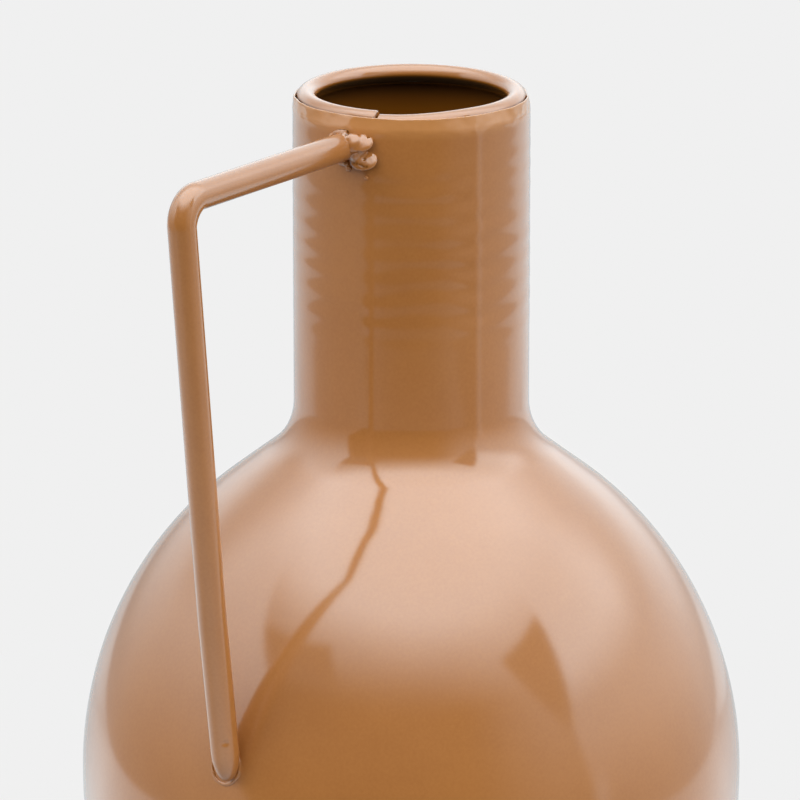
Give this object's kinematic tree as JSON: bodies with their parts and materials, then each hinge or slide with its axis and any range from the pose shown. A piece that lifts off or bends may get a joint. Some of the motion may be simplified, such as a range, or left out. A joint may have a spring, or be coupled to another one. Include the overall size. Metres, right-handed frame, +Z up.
{
  "type": "urn vase",
  "caption": "Glossy lacquered sheet-iron urn vase: egg-shaped body, straight cylindrical neck with a wired rim, and a single bent round-bar handle welded from neck to body.",
  "frame": {"origin": "centre of the flat base, on the surface that the vase stands on", "axes": "+Z up along the vase's axis, -X towards the handle, which lies in the plane y = 0"},
  "size_m": [0.2187, 0.198, 0.3272],
  "materials": {
    "sheet_lacquer": "gloss caramel lacquer on sheet iron",
    "bar_lacquer": "gloss caramel lacquer on round bar",
    "weld_lacquer": "gloss caramel lacquer over rough weld metal"
  },
  "bodies": {
    "root": {"lower_bowl": "sheet_lacquer", "shoulder_dome": "sheet_lacquer", "neck_tube": "sheet_lacquer", "rim_hoop": "bar_lacquer", "handle_bar": "bar_lacquer", "upper_handle_weld": "weld_lacquer", "lower_handle_weld": "weld_lacquer"}
  },
  "joints": []
}
